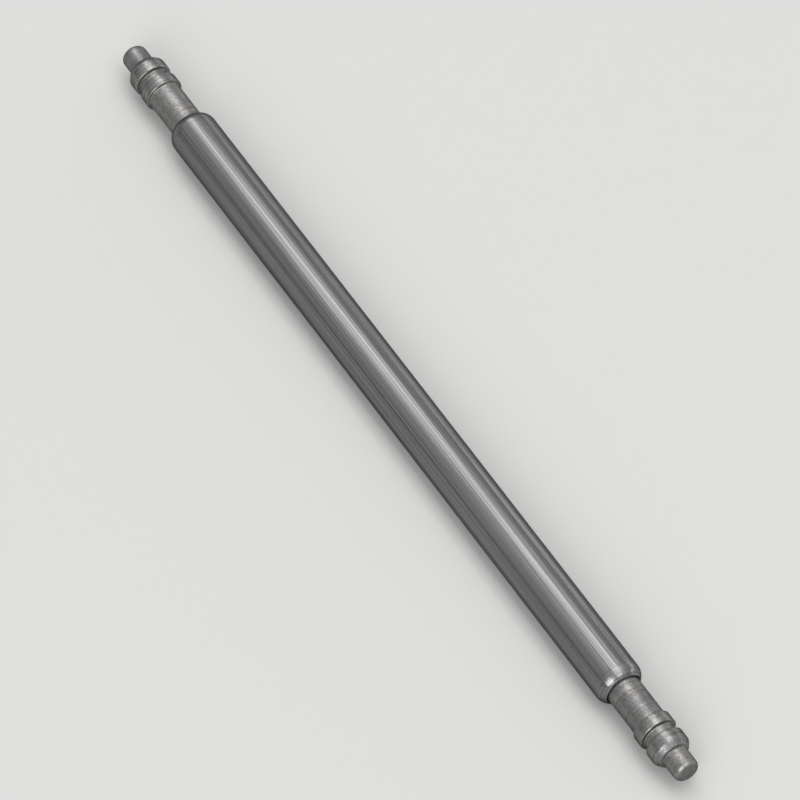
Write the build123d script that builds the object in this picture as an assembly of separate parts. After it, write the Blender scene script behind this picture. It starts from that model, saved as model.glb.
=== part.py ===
from build123d import *
from math import cos, pi, sin, sqrt
import os

# Double flange spring bar: the sprung pin that holds a strap between the two lugs of a watch.
# It lies along X with its middle at the origin, and every length is in millimetres.

# Barrel: a thin drawn tube, rolled in at both ends once the plungers are in it
barrel_length = 24.0
barrel_diameter = 1.5
barrel_wall = 0.12
roll_radius = 0.45

# Plunger: one turned piece, with a pivot for the lug's hole and a tool's groove between two flanges
travel = 1.3
pivot_diameter = 0.8
pivot_length = 0.71
pivot_rounding = 0.2
nose_diameter = 0.94
nose_length = 0.2
outer_flange_width = 0.38
groove_diameter = 0.98
groove_width = 0.26
inner_flange_width = 0.4
flange_diameter = 1.22
flange_chamfer = 0.05

# Plunger's inner end: a head that the rolled end holds back, and a spigot that the coil goes round
head_length = 0.9
head_shoulder = 0.07
head_chamfer = 0.08
spigot_length = 0.8
spigot_chamfer = 0.1

# Spring: a compression coil of six-sided wire between the two heads, with both of its ends ground flat
wire_diameter = 0.22
wire_sides = 6
coil_turns = 22
ground_turns = 0.5

# Fits: radial clearances, and the gap left at each end of a plunger's travel
mouth_clearance = 0.035
head_clearance = 0.035
coil_clearance = 0.04
spigot_clearance = 0.06
seat_gap = 0.02
stop_gap = 0.1

barrel_radius = barrel_diameter / 2
bore_radius = barrel_radius - barrel_wall
head_radius = bore_radius - head_clearance
neck_radius = head_radius - head_shoulder
mouth_radius = neck_radius + mouth_clearance

# Both faces of the wall turn in about this radius, and the mouth is where they end
bend_radius = barrel_radius - roll_radius
inner_roll = roll_radius - barrel_wall
mouth_rise = mouth_radius - bend_radius
mouth_x = barrel_length / 2
roll_x = mouth_x - sqrt(roll_radius**2 - mouth_rise**2)
lip_x = roll_x + sqrt(inner_roll**2 - mouth_rise**2)

# The head's front edge stops in the rolled end, just short of touching it
head_front = roll_x + sqrt(inner_roll**2 - (head_radius - bend_radius) ** 2) - seat_gap
head_back = head_front - head_length
neck_length = travel + stop_gap

coil_length = 2 * head_back
coil_radius = bore_radius - coil_clearance - wire_diameter / 2
coil_pitch = coil_length / coil_turns
spigot_radius = coil_radius - wire_diameter / 2 - spigot_clearance


def barrel():
    """The tube: one closed outline of its wall, rolled in at both ends and turned about X."""
    with BuildPart() as tube:
        with BuildSketch(Plane.XY):
            with BuildLine():
                Line((-roll_x, barrel_radius), (roll_x, barrel_radius))
                Line((-roll_x, bore_radius), (roll_x, bore_radius))
                for side in (1, -1):
                    outer_edge = (side * mouth_x, mouth_radius)
                    inner_edge = (side * lip_x, mouth_radius)
                    TangentArc((side * roll_x, barrel_radius), outer_edge, tangent=(side, 0))
                    TangentArc((side * roll_x, bore_radius), inner_edge, tangent=(side, 0))
                    Line(outer_edge, inner_edge)
            make_face()
        revolve(axis=Axis.X)
    return tube.part


def plunger():
    """The right plunger, turned about X: an outline from the spigot out to the pivot's rounded end."""
    inner_flange = mouth_x + neck_length
    groove = inner_flange + inner_flange_width
    outer_flange = groove + groove_width
    nose = outer_flange + outer_flange_width
    pivot = nose + nose_length
    tip = pivot + pivot_length
    spigot_end = head_back - spigot_length
    groove_radius = groove_diameter / 2
    flange_radius = flange_diameter / 2
    flange_edge = flange_radius - flange_chamfer
    pivot_radius = pivot_diameter / 2
    outline = [
        (spigot_end, 0),
        (spigot_end, spigot_radius - spigot_chamfer),
        (spigot_end + spigot_chamfer, spigot_radius),
        (head_back, spigot_radius),
        (head_back, head_radius - head_chamfer),
        (head_back + head_chamfer, head_radius),
        (head_front, head_radius),
        (head_front, neck_radius),
        (inner_flange, neck_radius),
        (inner_flange, flange_edge),
        (inner_flange + flange_chamfer, flange_radius),
        (groove - flange_chamfer, flange_radius),
        (groove, flange_edge),
        (groove, groove_radius),
        (outer_flange, groove_radius),
        (outer_flange, flange_edge),
        (outer_flange + flange_chamfer, flange_radius),
        (nose, flange_radius),
        (pivot, nose_diameter / 2),
        (pivot, pivot_radius),
        (tip - pivot_rounding, pivot_radius),
    ]
    rounded_end = (tip, pivot_radius - pivot_rounding)
    with BuildPart() as turned:
        with BuildSketch(Plane.XY):
            with BuildLine():
                Polyline(*outline)
                TangentArc(outline[-1], rounded_end, tangent=(1, 0))
                Polyline(rounded_end, (tip, 0), outline[0])
            make_face()
        revolve(axis=Axis.X)
    return turned.part


def coil_point(turn):
    """The middle of the wire, so many turns from the middle of the coil."""
    angle = 2 * pi * turn
    return Vector(coil_pitch * turn, coil_radius * cos(angle), coil_radius * sin(angle))


def coil_direction(turn):
    """The way the wire runs at that point."""
    angle = 2 * pi * turn
    around = 2 * pi * coil_radius
    return Vector(coil_pitch, -around * sin(angle), around * cos(angle)).normalized()


def coil_arcs(start, end):
    """Two arcs, tangent to each other and to the coil, that take the wire from one turn to another."""
    first, last = coil_point(start), coil_point(end)
    leaving, arriving = coil_direction(start), coil_direction(end)
    span = last - first
    along = span.dot(leaving + arriving)
    bend = 1 - leaving.dot(arriving)
    reach = (sqrt(along**2 + 2 * bend * span.dot(span)) - along) / (2 * bend)
    middle = (first + leaving * reach + last - arriving * reach) / 2
    first_arc = TangentArc(first, middle, tangent=leaving)
    return [first_arc, TangentArc(middle, last, tangent=first_arc % 1)]


def coil_spring():
    """The coil, swept in half turns past both heads and then ground flat where it meets them."""
    reach = coil_turns / 2 + ground_turns
    half_turns = round(4 * reach)
    step = 2 * reach / half_turns
    arcs = []
    for n in range(half_turns):
        arcs += coil_arcs(n * step - reach, (n + 1) * step - reach)
    wire_end = Plane(origin=coil_point(-reach), z_dir=coil_direction(-reach))
    wound = sweep(wire_end * RegularPolygon(wire_diameter / 2, wire_sides), path=Wire(arcs))
    return wound & Box(coil_length, barrel_diameter, barrel_diameter)


def least_coil_gap():
    """The narrowest gap from a point on one turn to the wire half a turn to one and a half on."""
    points = 360
    steps = [coil_point(0.5 + n / points) - coil_point(0) for n in range(points)]
    return min(step.length for step in steps) - wire_diameter


right_plunger = plunger()
nodes = {
    "barrel": barrel(),
    "left_plunger": right_plunger.rotate(Axis.Z, 180),
    "right_plunger": right_plunger,
    "coil_spring": coil_spring(),
}

os.makedirs("parts", exist_ok=True)
for name, solid in nodes.items():
    export_step(solid, f"parts/{name}.step")

print(f"least gap between the coil's turns: {least_coil_gap():.3f} mm")
print(f"coil between the heads: {coil_length:.3f} mm long, pitch {coil_pitch:.3f} mm")
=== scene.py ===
from math import acos, atan, cos, hypot, pi, radians, sin, sqrt

import bpy
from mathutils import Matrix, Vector


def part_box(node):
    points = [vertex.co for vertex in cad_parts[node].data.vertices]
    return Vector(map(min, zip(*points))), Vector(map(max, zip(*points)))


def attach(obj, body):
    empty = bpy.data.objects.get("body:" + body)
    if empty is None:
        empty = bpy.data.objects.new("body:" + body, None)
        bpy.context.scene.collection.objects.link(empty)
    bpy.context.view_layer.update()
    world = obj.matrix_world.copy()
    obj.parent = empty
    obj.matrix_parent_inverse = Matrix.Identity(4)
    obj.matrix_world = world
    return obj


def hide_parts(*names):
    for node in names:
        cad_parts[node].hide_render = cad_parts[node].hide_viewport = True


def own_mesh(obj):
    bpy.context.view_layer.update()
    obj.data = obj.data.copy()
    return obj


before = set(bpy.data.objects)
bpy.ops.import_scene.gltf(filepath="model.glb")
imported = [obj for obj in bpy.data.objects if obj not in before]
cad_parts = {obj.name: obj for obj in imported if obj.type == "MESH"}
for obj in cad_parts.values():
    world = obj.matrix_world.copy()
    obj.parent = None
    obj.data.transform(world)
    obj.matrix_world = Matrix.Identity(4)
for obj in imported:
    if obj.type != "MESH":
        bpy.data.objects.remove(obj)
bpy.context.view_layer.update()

# The barrel is a drawn stainless tube with a wall of 0.12 mm, cut to length. Each of its ends is
# rolled in over a plunger's head once the plungers and the coil are inside, and that alone holds
# the bar together.
MM = 0.001
barrel_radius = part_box("barrel")[1].z
mouth_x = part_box("barrel")[1].x
barrel_wall = 0.12 * MM
roll_radius = 0.45 * MM
mouth_radius = 0.56 * MM
lip_round = 0.032 * MM
lip_round_steps = 3
barrel_sides = 144
roll_steps = 12
sharp_angle = radians(45)
smooth_angle = radians(30)
weld_gap = 0.001 * MM

bore_radius = barrel_radius - barrel_wall
bend_radius = barrel_radius - roll_radius
roll_x = mouth_x - sqrt(roll_radius**2 - (mouth_radius - bend_radius) ** 2)


def start_edit(piece):
    """Opens this piece alone in edit mode, with all of it selected."""
    bpy.ops.object.select_all(action="DESELECT")
    piece.select_set(True)
    bpy.context.view_layer.objects.active = piece
    bpy.ops.object.mode_set(mode="EDIT")
    bpy.ops.mesh.select_all(action="SELECT")


def start_ring(name, x, radius, sides):
    """Starts a turned piece: a bare ring round the bar's axis, selected in edit mode."""
    bpy.ops.object.select_all(action="DESELECT")
    bpy.ops.mesh.primitive_circle_add(
        vertices=sides, radius=radius, location=(x, 0, 0), rotation=(0, pi / 2, 0)
    )
    piece = bpy.context.object
    piece.name = piece.data.name = name
    bpy.ops.object.transform_apply(location=True, rotation=True, scale=True)
    start_edit(piece)
    return piece


def draw_ring_out(stations):
    """Extrudes the selected ring from each station, a place along X and a radius, to the next."""
    for (x, radius), (next_x, next_radius) in zip(stations, stations[1:]):
        bpy.ops.mesh.extrude_region_move(TRANSFORM_OT_translate={"value": (next_x - x, 0, 0)})
        growth = next_radius / radius
        bpy.ops.transform.resize(value=(1, growth, growth), center_override=(next_x, 0, 0))


def apply_modifier(piece, kind, **settings):
    """Adds a modifier to the piece and applies it."""
    modifier = piece.modifiers.new(kind.lower(), kind)
    for name, value in settings.items():
        setattr(modifier, name, value)
    bpy.context.view_layer.objects.active = piece
    bpy.ops.object.modifier_apply(modifier=modifier.name)


def face_outwards(piece):
    """Turns the piece's faces outwards, and smooths the shading over its blunt edges."""
    start_edit(piece)
    bpy.ops.mesh.normals_make_consistent(inside=False)
    bpy.ops.object.mode_set(mode="OBJECT")
    bpy.ops.object.shade_smooth_by_angle(angle=smooth_angle)


def roll_in(radius):
    """Stations round the rolled end, for a face of the wall that turns in with this radius."""
    last_angle = acos((mouth_radius - bend_radius) / radius)
    angles = [last_angle * step / roll_steps for step in range(roll_steps + 1)]
    return [(roll_x + radius * sin(a), bend_radius + radius * cos(a)) for a in angles]


outer_wall = [(0, barrel_radius)] + roll_in(roll_radius)
inner_wall = roll_in(roll_radius - barrel_wall)[::-1] + [(0, bore_radius)]
barrel = start_ring("barrel_tube", *outer_wall[0], barrel_sides)
draw_ring_out(outer_wall + inner_wall)
bpy.ops.object.mode_set(mode="OBJECT")
apply_modifier(barrel, "MIRROR", merge_threshold=weld_gap)
apply_modifier(
    barrel,
    "BEVEL",
    width=lip_round,
    segments=lip_round_steps,
    limit_method="ANGLE",
    angle_limit=sharp_angle,
)
face_outwards(barrel)


def linear(hex_colour):
    """An sRGB hex colour as the linear values that a shader takes."""
    shares = [int(hex_colour[i : i + 2], 16) / 255 for i in (1, 3, 5)]
    return [s / 12.92 if s <= 0.04045 else ((s + 0.055) / 1.055) ** 2.4 for s in shares] + [1]


def add_node(owner, kind, inputs=None, **settings):
    """Adds a node to a material or the world, sets its options, and fills or links its inputs."""
    node = owner.node_tree.nodes.new("ShaderNode" + kind)
    for option, value in settings.items():
        setattr(node, option, value)
    for socket, value in (inputs or {}).items():
        if isinstance(value, bpy.types.NodeSocket):
            owner.node_tree.links.new(value, node.inputs[socket])
        else:
            node.inputs[socket].default_value = value
    return node


def start_material(name):
    """An empty material, for add_node to build on."""
    material = bpy.data.materials.new(name)
    material.use_nodes = True
    material.node_tree.nodes.clear()
    return material


# Drawn stainless tube, polished only by the die. Fine lines run its whole length and a few deeper
# die marks break the lamp's streak into bright and dull threads, while rolling has left rings on
# its ends, and a thin film of oxide darkens it where it turns away from the eye. The real lines
# are about 0.01 mm apart, and are drawn four times as coarse to show.
tube_bright = "#8C8C8C"
tube_dull = "#6C6C6C"
tube_edge = "#959595"
tube_bright_roughness = 0.18
tube_dull_roughness = 0.3
line_width = 0.04 * MM
line_length = 9 * MM
line_depth = 0.006 * MM
line_detail = 2
die_mark_width = 0.16 * MM
die_mark_depth = 0.014 * MM
die_mark_detail = 1
roll_ring_width = 0.03 * MM
roll_ring_length = 3 * MM
roll_ring_detail = 1
roll_blend = 0.12 * MM
nick_spacing = 1.1 * MM
nick_radius = 0.07 * MM
nick_depth = 0.012 * MM

# Noise seldom leaves this range, so the tones run from the one end of it to the other
noise_low = 0.32
noise_high = 0.68

# A Mix node has the same names for its values and its colours, so its sockets go by number
mix_share, mix_value_a, mix_value_b = 0, 2, 3
mix_colour_a, mix_colour_b, mixed_colour = 6, 7, 2

tube_steel = start_material("drawn_stainless_tube")
place = add_node(tube_steel, "TexCoord").outputs["Object"]
along_lines = add_node(
    tube_steel,
    "Mapping",
    {"Vector": place, "Scale": (1 / line_length, 1 / line_width, 1 / line_width)},
)
lines = add_node(
    tube_steel, "TexNoise", {"Vector": along_lines.outputs[0], "Scale": 1, "Detail": line_detail}
)
die_marks = add_node(
    tube_steel,
    "TexNoise",
    {
        "Vector": along_lines.outputs[0],
        "Scale": line_width / die_mark_width,
        "Detail": die_mark_detail,
    },
)
along_roll_rings = add_node(
    tube_steel,
    "Mapping",
    {"Vector": place, "Scale": (1 / roll_ring_width, 1 / roll_ring_length, 1 / roll_ring_length)},
)
roll_rings = add_node(
    tube_steel,
    "TexNoise",
    {"Vector": along_roll_rings.outputs[0], "Scale": 1, "Detail": roll_ring_detail},
)
along_bar = add_node(tube_steel, "SeparateXYZ", {0: place}).outputs["X"]
from_middle = add_node(tube_steel, "Math", {0: along_bar}, operation="ABSOLUTE")
on_roll = add_node(
    tube_steel,
    "MapRange",
    {"Value": from_middle.outputs[0], "From Min": roll_x - roll_blend, "From Max": roll_x},
)
marks = add_node(
    tube_steel,
    "Mix",
    {
        mix_share: on_roll.outputs[0],
        mix_value_a: lines.outputs[0],
        mix_value_b: roll_rings.outputs[0],
    },
)
nick_cells = add_node(tube_steel, "TexVoronoi", {"Vector": place, "Scale": 1 / nick_spacing})
nicks = add_node(
    tube_steel,
    "MapRange",
    {"Value": nick_cells.outputs["Distance"], "From Max": nick_radius / nick_spacing},
)
mark_tone = add_node(
    tube_steel,
    "MapRange",
    {"Value": marks.outputs[0], "From Min": noise_low, "From Max": noise_high},
)
tube_tone = add_node(
    tube_steel,
    "Mix",
    {
        mix_share: mark_tone.outputs[0],
        mix_colour_a: linear(tube_dull),
        mix_colour_b: linear(tube_bright),
    },
    data_type="RGBA",
)
tube_roughness = add_node(
    tube_steel,
    "MapRange",
    {
        "Value": mark_tone.outputs[0],
        "To Min": tube_dull_roughness,
        "To Max": tube_bright_roughness,
    },
)
die_bump = add_node(
    tube_steel, "Bump", {"Height": die_marks.outputs[0], "Distance": die_mark_depth}
)
mark_bump = add_node(
    tube_steel,
    "Bump",
    {"Height": marks.outputs[0], "Distance": line_depth, "Normal": die_bump.outputs[0]},
)
nick_bump = add_node(
    tube_steel,
    "Bump",
    {"Height": nicks.outputs[0], "Distance": nick_depth, "Normal": mark_bump.outputs[0]},
)
tube_shader = add_node(
    tube_steel,
    "BsdfPrincipled",
    {
        "Base Color": tube_tone.outputs[mixed_colour],
        "Specular Tint": linear(tube_edge),
        "Metallic": 1,
        "Roughness": tube_roughness.outputs[0],
        "Normal": nick_bump.outputs[0],
    },
)
add_node(tube_steel, "OutputMaterial", {"Surface": tube_shader.outputs[0]})

barrel.data.materials.append(tube_steel)
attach(barrel, "tube")
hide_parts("barrel")


# The coil is a compression spring of drawn stainless wire. It lies loose in the bore, goes over
# both plungers' spigots and is ground flat where it presses on their heads. It is cut in two at
# its middle here.
head_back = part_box("coil_spring")[1].x
wire_radius = 0.11 * MM
coil_radius = 0.48 * MM
coil_turns = 22
ground_turns = 0.5
wire_sides = 16
steps_a_turn = 36

coil_pitch = 2 * head_back / coil_turns
coil_slope = atan(coil_pitch / (2 * pi * coil_radius))
coil_start = -(coil_turns / 2 + ground_turns) * coil_pitch


def cut_flat(piece, x, keep_below):
    """Cuts the piece off square to X at this place, and closes the cut."""
    start_edit(piece)
    bpy.ops.mesh.bisect(
        plane_co=(x, 0, 0),
        plane_no=(1, 0, 0),
        use_fill=True,
        clear_outer=keep_below,
        clear_inner=not keep_below,
        threshold=weld_gap,
    )
    bpy.ops.object.mode_set(mode="OBJECT")


bpy.ops.object.select_all(action="DESELECT")
bpy.ops.mesh.primitive_circle_add(
    vertices=wire_sides, radius=wire_radius, location=(coil_start, -coil_radius, 0)
)
coil = bpy.context.object
bpy.ops.transform.resize(value=(1 / cos(coil_slope), 1, 1), center_override=coil.location)
bpy.ops.object.transform_apply(location=True, rotation=True, scale=True)
apply_modifier(
    coil,
    "SCREW",
    axis="X",
    angle=2 * pi,
    screw_offset=coil_pitch,
    iterations=round(coil_turns + 2 * ground_turns),
    steps=steps_a_turn,
    render_steps=steps_a_turn,
)
cut_flat(coil, head_back, keep_below=True)
cut_flat(coil, -head_back, keep_below=False)

# Drawn spring wire: smooth and brighter than the tube, with a faint grain.
wire_bright = "#BDBDBC"
wire_dull = "#A2A2A1"
wire_bright_roughness = 0.22
wire_dull_roughness = 0.4
wire_grain = 0.05 * MM
wire_grain_detail = 3

spring_steel = start_material("drawn_spring_wire")
place = add_node(spring_steel, "TexCoord").outputs["Object"]
grain = add_node(
    spring_steel,
    "TexNoise",
    {"Vector": place, "Scale": 1 / wire_grain, "Detail": wire_grain_detail},
)
wire_tone = add_node(
    spring_steel,
    "Mix",
    {
        mix_share: grain.outputs[0],
        mix_colour_a: linear(wire_dull),
        mix_colour_b: linear(wire_bright),
    },
    data_type="RGBA",
)
wire_roughness = add_node(
    spring_steel,
    "MapRange",
    {"Value": grain.outputs[0], "To Min": wire_dull_roughness, "To Max": wire_bright_roughness},
)
wire_shader = add_node(
    spring_steel,
    "BsdfPrincipled",
    {
        "Base Color": wire_tone.outputs[mixed_colour],
        "Metallic": 1,
        "Roughness": wire_roughness.outputs[0],
    },
)
add_node(spring_steel, "OutputMaterial", {"Surface": wire_shader.outputs[0]})
coil.data.materials.append(spring_steel)

other_half = coil.copy()
other_half.data = coil.data.copy()
bpy.context.collection.objects.link(other_half)
for half, name, joint in (
    (coil, "coil_left_half", "left_press"),
    (other_half, "coil_right_half", "right_press"),
):
    half.name = half.data.name = name
    cut_flat(half, 0, keep_below=joint == "left_press")
    face_outwards(half)
    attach(half, "spring")
    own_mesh(half)
    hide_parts("coil_spring")


# Each plunger is turned from stainless rod in one piece: a spigot in the coil, a head that the
# rolled end holds back, a neck, two flanges with a tool's groove between them, and the pivot that
# stands in the lug's hole. Tumbling in grit has rounded its edges.
spigot_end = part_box("right_plunger")[0].x
tip_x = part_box("right_plunger")[1].x
flange_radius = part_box("right_plunger")[1].z
spigot_radius = 0.31 * MM
head_radius = 0.595 * MM
head_length = 0.9 * MM
neck_radius = 0.525 * MM
neck_length = 1.4 * MM
inner_flange_width = 0.4 * MM
groove_radius = 0.49 * MM
groove_width = 0.26 * MM
outer_flange_width = 0.38 * MM
nose_radius = 0.47 * MM
nose_length = 0.2 * MM
pivot_radius = 0.4 * MM
pivot_end_round = 0.2 * MM
pivot_end_steps = 8
flange_round = 0.05 * MM
flange_round_steps = 5
edge_round = 0.03 * MM
edge_round_steps = 3
plunger_sides = 112

inner_flange = mouth_x + neck_length
groove = inner_flange + inner_flange_width
outer_flange = groove + groove_width
nose = outer_flange + outer_flange_width
pivot = nose + nose_length
head_front = head_back + head_length
pivot_end = [
    (
        tip_x - pivot_end_round * (1 - sin(pi / 2 * step / pivot_end_steps)),
        pivot_radius - pivot_end_round * (1 - cos(pi / 2 * step / pivot_end_steps)),
    )
    for step in range(pivot_end_steps + 1)
]
plunger_stations = [
    (spigot_end, spigot_radius),
    (head_back, spigot_radius),
    (head_back, head_radius),
    (head_front, head_radius),
    (head_front, neck_radius),
    (inner_flange, neck_radius),
    (inner_flange, flange_radius),
    (groove, flange_radius),
    (groove, groove_radius),
    (outer_flange, groove_radius),
    (outer_flange, flange_radius),
    (nose, flange_radius),
    (pivot, nose_radius),
    (pivot, pivot_radius),
] + pivot_end


def select_edges(piece, wanted):
    """Selects the edges whose two ends are both wanted, in edit mode."""
    bpy.ops.mesh.select_mode(type="EDGE")
    bpy.ops.mesh.select_all(action="DESELECT")
    bpy.ops.object.mode_set(mode="OBJECT")
    for edge in piece.data.edges:
        edge.select = all(wanted(piece.data.vertices[end].co) for end in edge.vertices)
    bpy.ops.object.mode_set(mode="EDIT")


def round_ring(piece, x, radius, width, steps):
    """Rounds the ring edge at this place along X and this radius."""
    select_edges(
        piece,
        lambda end: abs(end.x - x) < weld_gap and abs(hypot(end.y, end.z) - radius) < weld_gap,
    )
    bpy.ops.mesh.bevel(offset=width, segments=steps)


right_plunger = start_ring("right_plunger_turned", *plunger_stations[0], plunger_sides)
draw_ring_out(plunger_stations)
bpy.ops.mesh.select_all(action="SELECT")
bpy.ops.mesh.fill_holes(sides=0)
for flange_edge in (inner_flange, groove, outer_flange, nose):
    round_ring(right_plunger, flange_edge, flange_radius, flange_round, flange_round_steps)
for edge, edge_radius in (
    (spigot_end, spigot_radius),
    (head_back, head_radius),
    (head_front, head_radius),
    (inner_flange, neck_radius),
    (groove, groove_radius),
    (outer_flange, groove_radius),
    (pivot, nose_radius),
    (pivot, pivot_radius),
):
    round_ring(right_plunger, edge, edge_radius, edge_round, edge_round_steps)
bpy.ops.object.mode_set(mode="OBJECT")
face_outwards(right_plunger)

# Turned and tumbled stainless: satin and dark at its edges, with the lathe's fine rings round it
# and a speckle of grit marks over them. It is brighter on the flanges' rims, which rub on other
# plungers in the tumbler. The rings are really 0.02 mm apart, drawn three times as coarse to show.
plunger_bright = "#959493"
plunger_dull = "#6C6B6A"
plunger_edge = "#959595"
plunger_bright_roughness = 0.36
plunger_dull_roughness = 0.48
rim_roughness = 0.3
turned_ring_width = 0.06 * MM
turned_ring_length = 2 * MM
turned_ring_depth = 0.008 * MM
turned_ring_detail = 2
grit_size = 0.07 * MM
grit_depth = 0.006 * MM
grit_detail = 3
grit_share = 0.5
speckle_low = 0.35
speckle_high = 0.65

plunger_steel = start_material("turned_tumbled_stainless")
place = add_node(plunger_steel, "TexCoord").outputs["Object"]
along_turned_rings = add_node(
    plunger_steel,
    "Mapping",
    {
        "Vector": place,
        "Scale": (1 / turned_ring_width, 1 / turned_ring_length, 1 / turned_ring_length),
    },
)
turned_rings = add_node(
    plunger_steel,
    "TexNoise",
    {"Vector": along_turned_rings.outputs[0], "Scale": 1, "Detail": turned_ring_detail},
)
grit = add_node(
    plunger_steel, "TexNoise", {"Vector": place, "Scale": 1 / grit_size, "Detail": grit_detail}
)
speckle = add_node(
    plunger_steel,
    "Mix",
    {
        mix_share: grit_share,
        mix_value_a: turned_rings.outputs[0],
        mix_value_b: grit.outputs[0],
    },
)
speckle_tone = add_node(
    plunger_steel,
    "MapRange",
    {"Value": speckle.outputs[0], "From Min": speckle_low, "From Max": speckle_high},
)
plunger_tone = add_node(
    plunger_steel,
    "Mix",
    {
        mix_share: speckle_tone.outputs[0],
        mix_colour_a: linear(plunger_dull),
        mix_colour_b: linear(plunger_bright),
    },
    data_type="RGBA",
)
plunger_roughness = add_node(
    plunger_steel,
    "MapRange",
    {
        "Value": speckle_tone.outputs[0],
        "To Min": plunger_dull_roughness,
        "To Max": plunger_bright_roughness,
    },
)
across_bar = add_node(plunger_steel, "Mapping", {"Vector": place, "Scale": (0, 1, 1)})
from_axis = add_node(plunger_steel, "VectorMath", {0: across_bar.outputs[0]}, operation="LENGTH")
on_rim = add_node(
    plunger_steel,
    "MapRange",
    {
        "Value": from_axis.outputs["Value"],
        "From Min": flange_radius - flange_round,
        "From Max": flange_radius,
    },
)
worn_roughness = add_node(
    plunger_steel,
    "Mix",
    {
        mix_share: on_rim.outputs[0],
        mix_value_a: plunger_roughness.outputs[0],
        mix_value_b: rim_roughness,
    },
)
ring_bump = add_node(
    plunger_steel, "Bump", {"Height": turned_rings.outputs[0], "Distance": turned_ring_depth}
)
grit_bump = add_node(
    plunger_steel,
    "Bump",
    {"Height": grit.outputs[0], "Distance": grit_depth, "Normal": ring_bump.outputs[0]},
)
plunger_shader = add_node(
    plunger_steel,
    "BsdfPrincipled",
    {
        "Base Color": plunger_tone.outputs[mixed_colour],
        "Specular Tint": linear(plunger_edge),
        "Metallic": 1,
        "Roughness": worn_roughness.outputs[0],
        "Normal": grit_bump.outputs[0],
    },
)
add_node(plunger_steel, "OutputMaterial", {"Surface": plunger_shader.outputs[0]})
right_plunger.data.materials.append(plunger_steel)

left_plunger = right_plunger.copy()
left_plunger.data = right_plunger.data.copy()
left_plunger.name = left_plunger.data.name = "left_plunger_turned"
bpy.context.collection.objects.link(left_plunger)
bpy.ops.object.select_all(action="DESELECT")
left_plunger.select_set(True)
bpy.context.view_layer.objects.active = left_plunger
bpy.ops.transform.rotate(value=pi, orient_axis="Z", center_override=(0, 0, 0))
bpy.ops.object.transform_apply(location=True, rotation=True, scale=True)

for plunger, body, node in (
    (left_plunger, "plunger_left", "left_plunger"),
    (right_plunger, "plunger_right", "right_plunger"),
):
    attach(plunger, body)
    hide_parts(node)


# The bar lies on a plain table with a matt pale paint. The table's edge curves up all round into
# a low rim, so that a low view has the same pale paint behind the bar and no hard horizon.
table_radius = 0.6
rim_curve = 0.1
rim_height = 0.16
rim_steps = 8
table_sides = 96
table_z = -barrel_radius
table_colour = "#BCBCBB"
paint_roughness = 0.85

bpy.ops.object.select_all(action="DESELECT")
bpy.ops.mesh.primitive_circle_add(
    vertices=table_sides, radius=table_radius, fill_type="TRIFAN", location=(0, 0, table_z)
)
table = bpy.context.object
table.name = table.data.name = "pale_table"
bpy.ops.object.transform_apply(location=True, rotation=True, scale=True)
bpy.ops.object.mode_set(mode="EDIT")
# The outer edges have both ends far from the middle, and the spokes have only one
select_edges(table, lambda end: end.xy.length > table_radius / 2)
for step in range(rim_steps):
    angle, next_angle = (pi / 2 * (step + n) / rim_steps for n in (0, 1))
    rise = rim_curve * (cos(angle) - cos(next_angle))
    growth = (table_radius + rim_curve * sin(next_angle)) / (table_radius + rim_curve * sin(angle))
    bpy.ops.mesh.extrude_region_move(TRANSFORM_OT_translate={"value": (0, 0, rise)})
    bpy.ops.transform.resize(value=(growth, growth, 1), center_override=(0, 0, 0))
bpy.ops.mesh.extrude_region_move(
    TRANSFORM_OT_translate={"value": (0, 0, rim_height - rim_curve)}
)
bpy.ops.object.mode_set(mode="OBJECT")
bpy.ops.object.shade_smooth_by_angle(angle=smooth_angle)

table_paint = start_material("matt_pale_paint")
paint_shader = add_node(
    table_paint,
    "BsdfPrincipled",
    {"Base Color": linear(table_colour), "Roughness": paint_roughness},
)
add_node(table_paint, "OutputMaterial", {"Surface": paint_shader.outputs[0]})
table.data.materials.append(table_paint)


# A long strip overhead draws the bright streak down the tube, a low one behind it the fainter
# second band, and a round softbox at the front the small highlights on the lips and flanges. A
# tent fills in the rest, grey low down and pale overhead. Level 1 is the picture's white.
strip_place = (-0.2, 0.07, 0.42)
strip_size = (1.2, 0.24)
strip_level = 1.55
back_place = (-0.29, 0.5, 0.085)
back_size = (1.2, 0.1)
back_level = 1.2
front_place = (0.285, -0.32, 0.255)
front_size = (0.34, 0.34)
front_level = 3.1
tent_low = 0.3
tent_high = 0.95

# An area lamp glows at level 1 when each square metre of it has this many watts
level_power = 4


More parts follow.
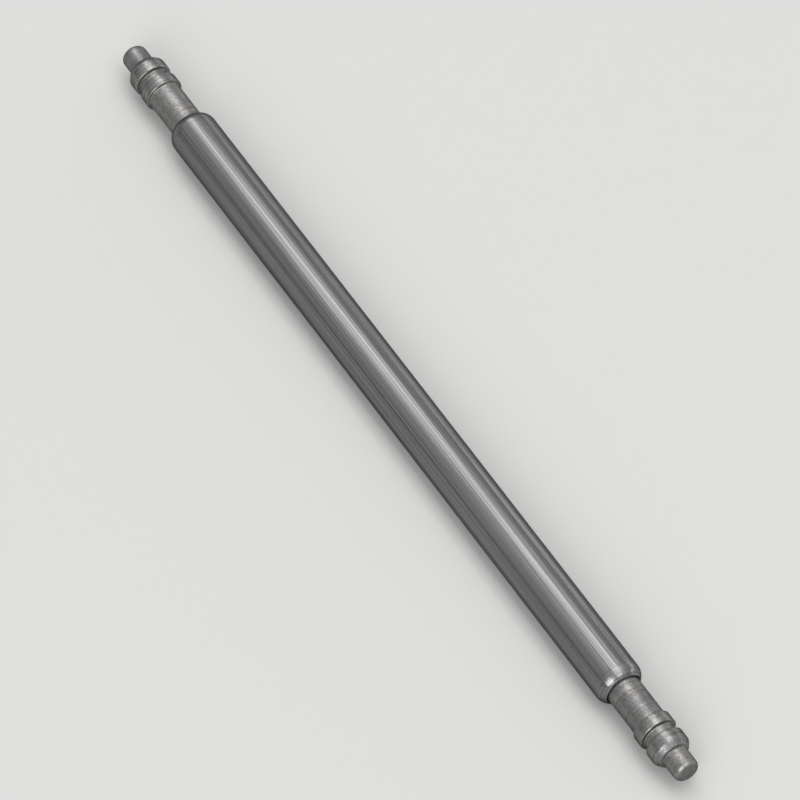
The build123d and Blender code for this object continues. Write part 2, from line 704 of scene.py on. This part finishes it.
def hang_softbox(name, centre, aim, size, level, shape="RECTANGLE"):
    """Hangs an area lamp, its first side horizontal, to face a point and glow at this level."""
    bpy.ops.object.select_all(action="DESELECT")
    bpy.ops.object.light_add(
        type="AREA",
        location=centre,
        rotation=(Vector(centre) - Vector(aim)).to_track_quat("Z", "Y").to_euler(),
    )
    lamp = bpy.context.object
    lamp.name = lamp.data.name = name
    lamp.data.shape = shape
    lamp.data.size, lamp.data.size_y = size
    area = size[0] * size[1] * (pi / 4 if shape == "ELLIPSE" else 1)
    lamp.data.energy = level * level_power * area
    lamp.visible_camera = False


hang_softbox("strip_softbox", strip_place, (strip_place[0], 0, 0), strip_size, strip_level)
hang_softbox("back_softbox", back_place, (back_place[0], 0, 0), back_size, back_level)
hang_softbox("front_softbox", front_place, (0, 0, 0), front_size, front_level, shape="ELLIPSE")

world = bpy.data.worlds.new("light_tent")
world.use_nodes = True
world.node_tree.nodes.clear()
height = add_node(world, "SeparateXYZ", {0: add_node(world, "TexCoord").outputs["Generated"]})
tent = add_node(
    world,
    "MapRange",
    {"Value": height.outputs["Z"], "To Min": tent_low, "To Max": tent_high},
    interpolation_type="SMOOTHSTEP",
)
add_node(
    world,
    "OutputWorld",
    {0: add_node(world, "Background", {"Color": tent.outputs[0]}).outputs[0]},
)
bpy.context.scene.world = world
bpy.context.scene.view_settings.view_transform = "Standard"


# The camera looks down on the bar as the photograph does, from the side of its right end, and far
# enough off for the same slight taper.
camera_azimuth = radians(58)
camera_elevation = radians(54)
camera_distance = 0.205
picture_width = 23.4 * MM
nearest_seen = 10 * MM
sensor_width = 36

towards_camera = Vector(
    (
        sin(camera_azimuth) * cos(camera_elevation),
        -cos(camera_azimuth) * cos(camera_elevation),
        sin(camera_elevation),
    )
)
bpy.ops.object.select_all(action="DESELECT")
bpy.ops.object.camera_add(
    location=towards_camera * camera_distance,
    rotation=towards_camera.to_track_quat("Z", "Y").to_euler(),
)
camera = bpy.context.object
camera.name = camera.data.name = "camera"
camera.data.sensor_width = sensor_width
camera.data.lens = sensor_width * camera_distance / picture_width
camera.data.clip_start = nearest_seen
bpy.context.scene.camera = camera
